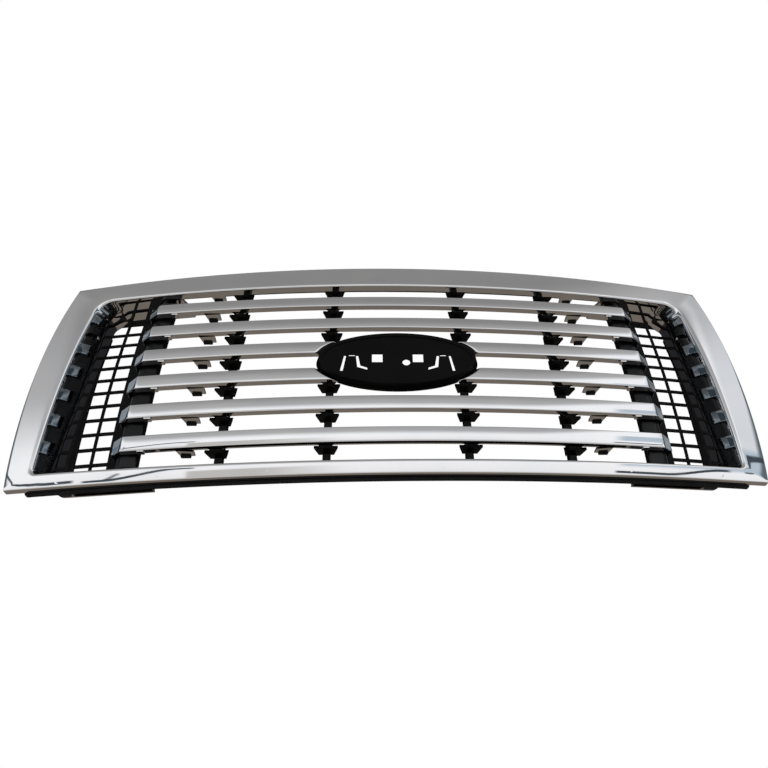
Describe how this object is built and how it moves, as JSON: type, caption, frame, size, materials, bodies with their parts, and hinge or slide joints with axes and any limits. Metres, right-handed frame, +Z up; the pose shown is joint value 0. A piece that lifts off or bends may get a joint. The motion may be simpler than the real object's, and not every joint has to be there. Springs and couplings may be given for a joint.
{
  "type": "vehicle front grille",
  "caption": "Wide curved pickup front grille: chrome surround and horizontal chrome bars over black posts, ribs and side mesh, with a blank oval emblem pad.",
  "frame": {"origin": "on the vehicle's centre plane, at the middle of the bars' height, where the curved face stands furthest forward", "axes": "+X across the vehicle, +Y rearwards (the chrome face looks along -Y), +Z up as installed"},
  "size_m": [1.113, 0.1267, 0.4003],
  "materials": {
    "chrome_plating": "bright decorative plating on moulded plastic",
    "satin_black": "satin moulded",
    "mesh_black": "fine matt texture",
    "pad_black": "fine matt texture",
    "moulded_black": "moulded, lightly textured",
    "bracket_steel": "black electrocoat",
    "zinc_screws": "zinc plated"
  },
  "bodies": {
    "root": {"chrome_surround": "chrome_plating", "bar_1": "chrome_plating", "bar_2": "chrome_plating", "bar_3_left": "chrome_plating", "bar_3_right": "chrome_plating", "bar_4_left": "chrome_plating", "bar_4_right": "chrome_plating", "bar_5": "chrome_plating", "bar_6": "chrome_plating", "end_post_left": "satin_black", "rib_left_outer": "moulded_black", "rib_left_inner": "moulded_black", "mesh_insert_left": "mesh_black", "side_bracket_left": "bracket_steel", "end_post_right": "satin_black", "rib_right_outer": "moulded_black", "rib_right_inner": "moulded_black", "mesh_insert_right": "mesh_black", "side_bracket_right": "bracket_steel", "emblem_pad": "pad_black", "upper_reinforcement": "moulded_black", "lower_reinforcement": "moulded_black", "tab_clips": "moulded_black", "upper_web_screws": "zinc_screws", "lower_web_screws": "zinc_screws", "mesh_screws": "zinc_screws", "post_screws": "zinc_screws", "pad_screws": "zinc_screws", "upper_rib_screws": "zinc_screws", "lower_rib_screws": "zinc_screws"}
  },
  "joints": []
}
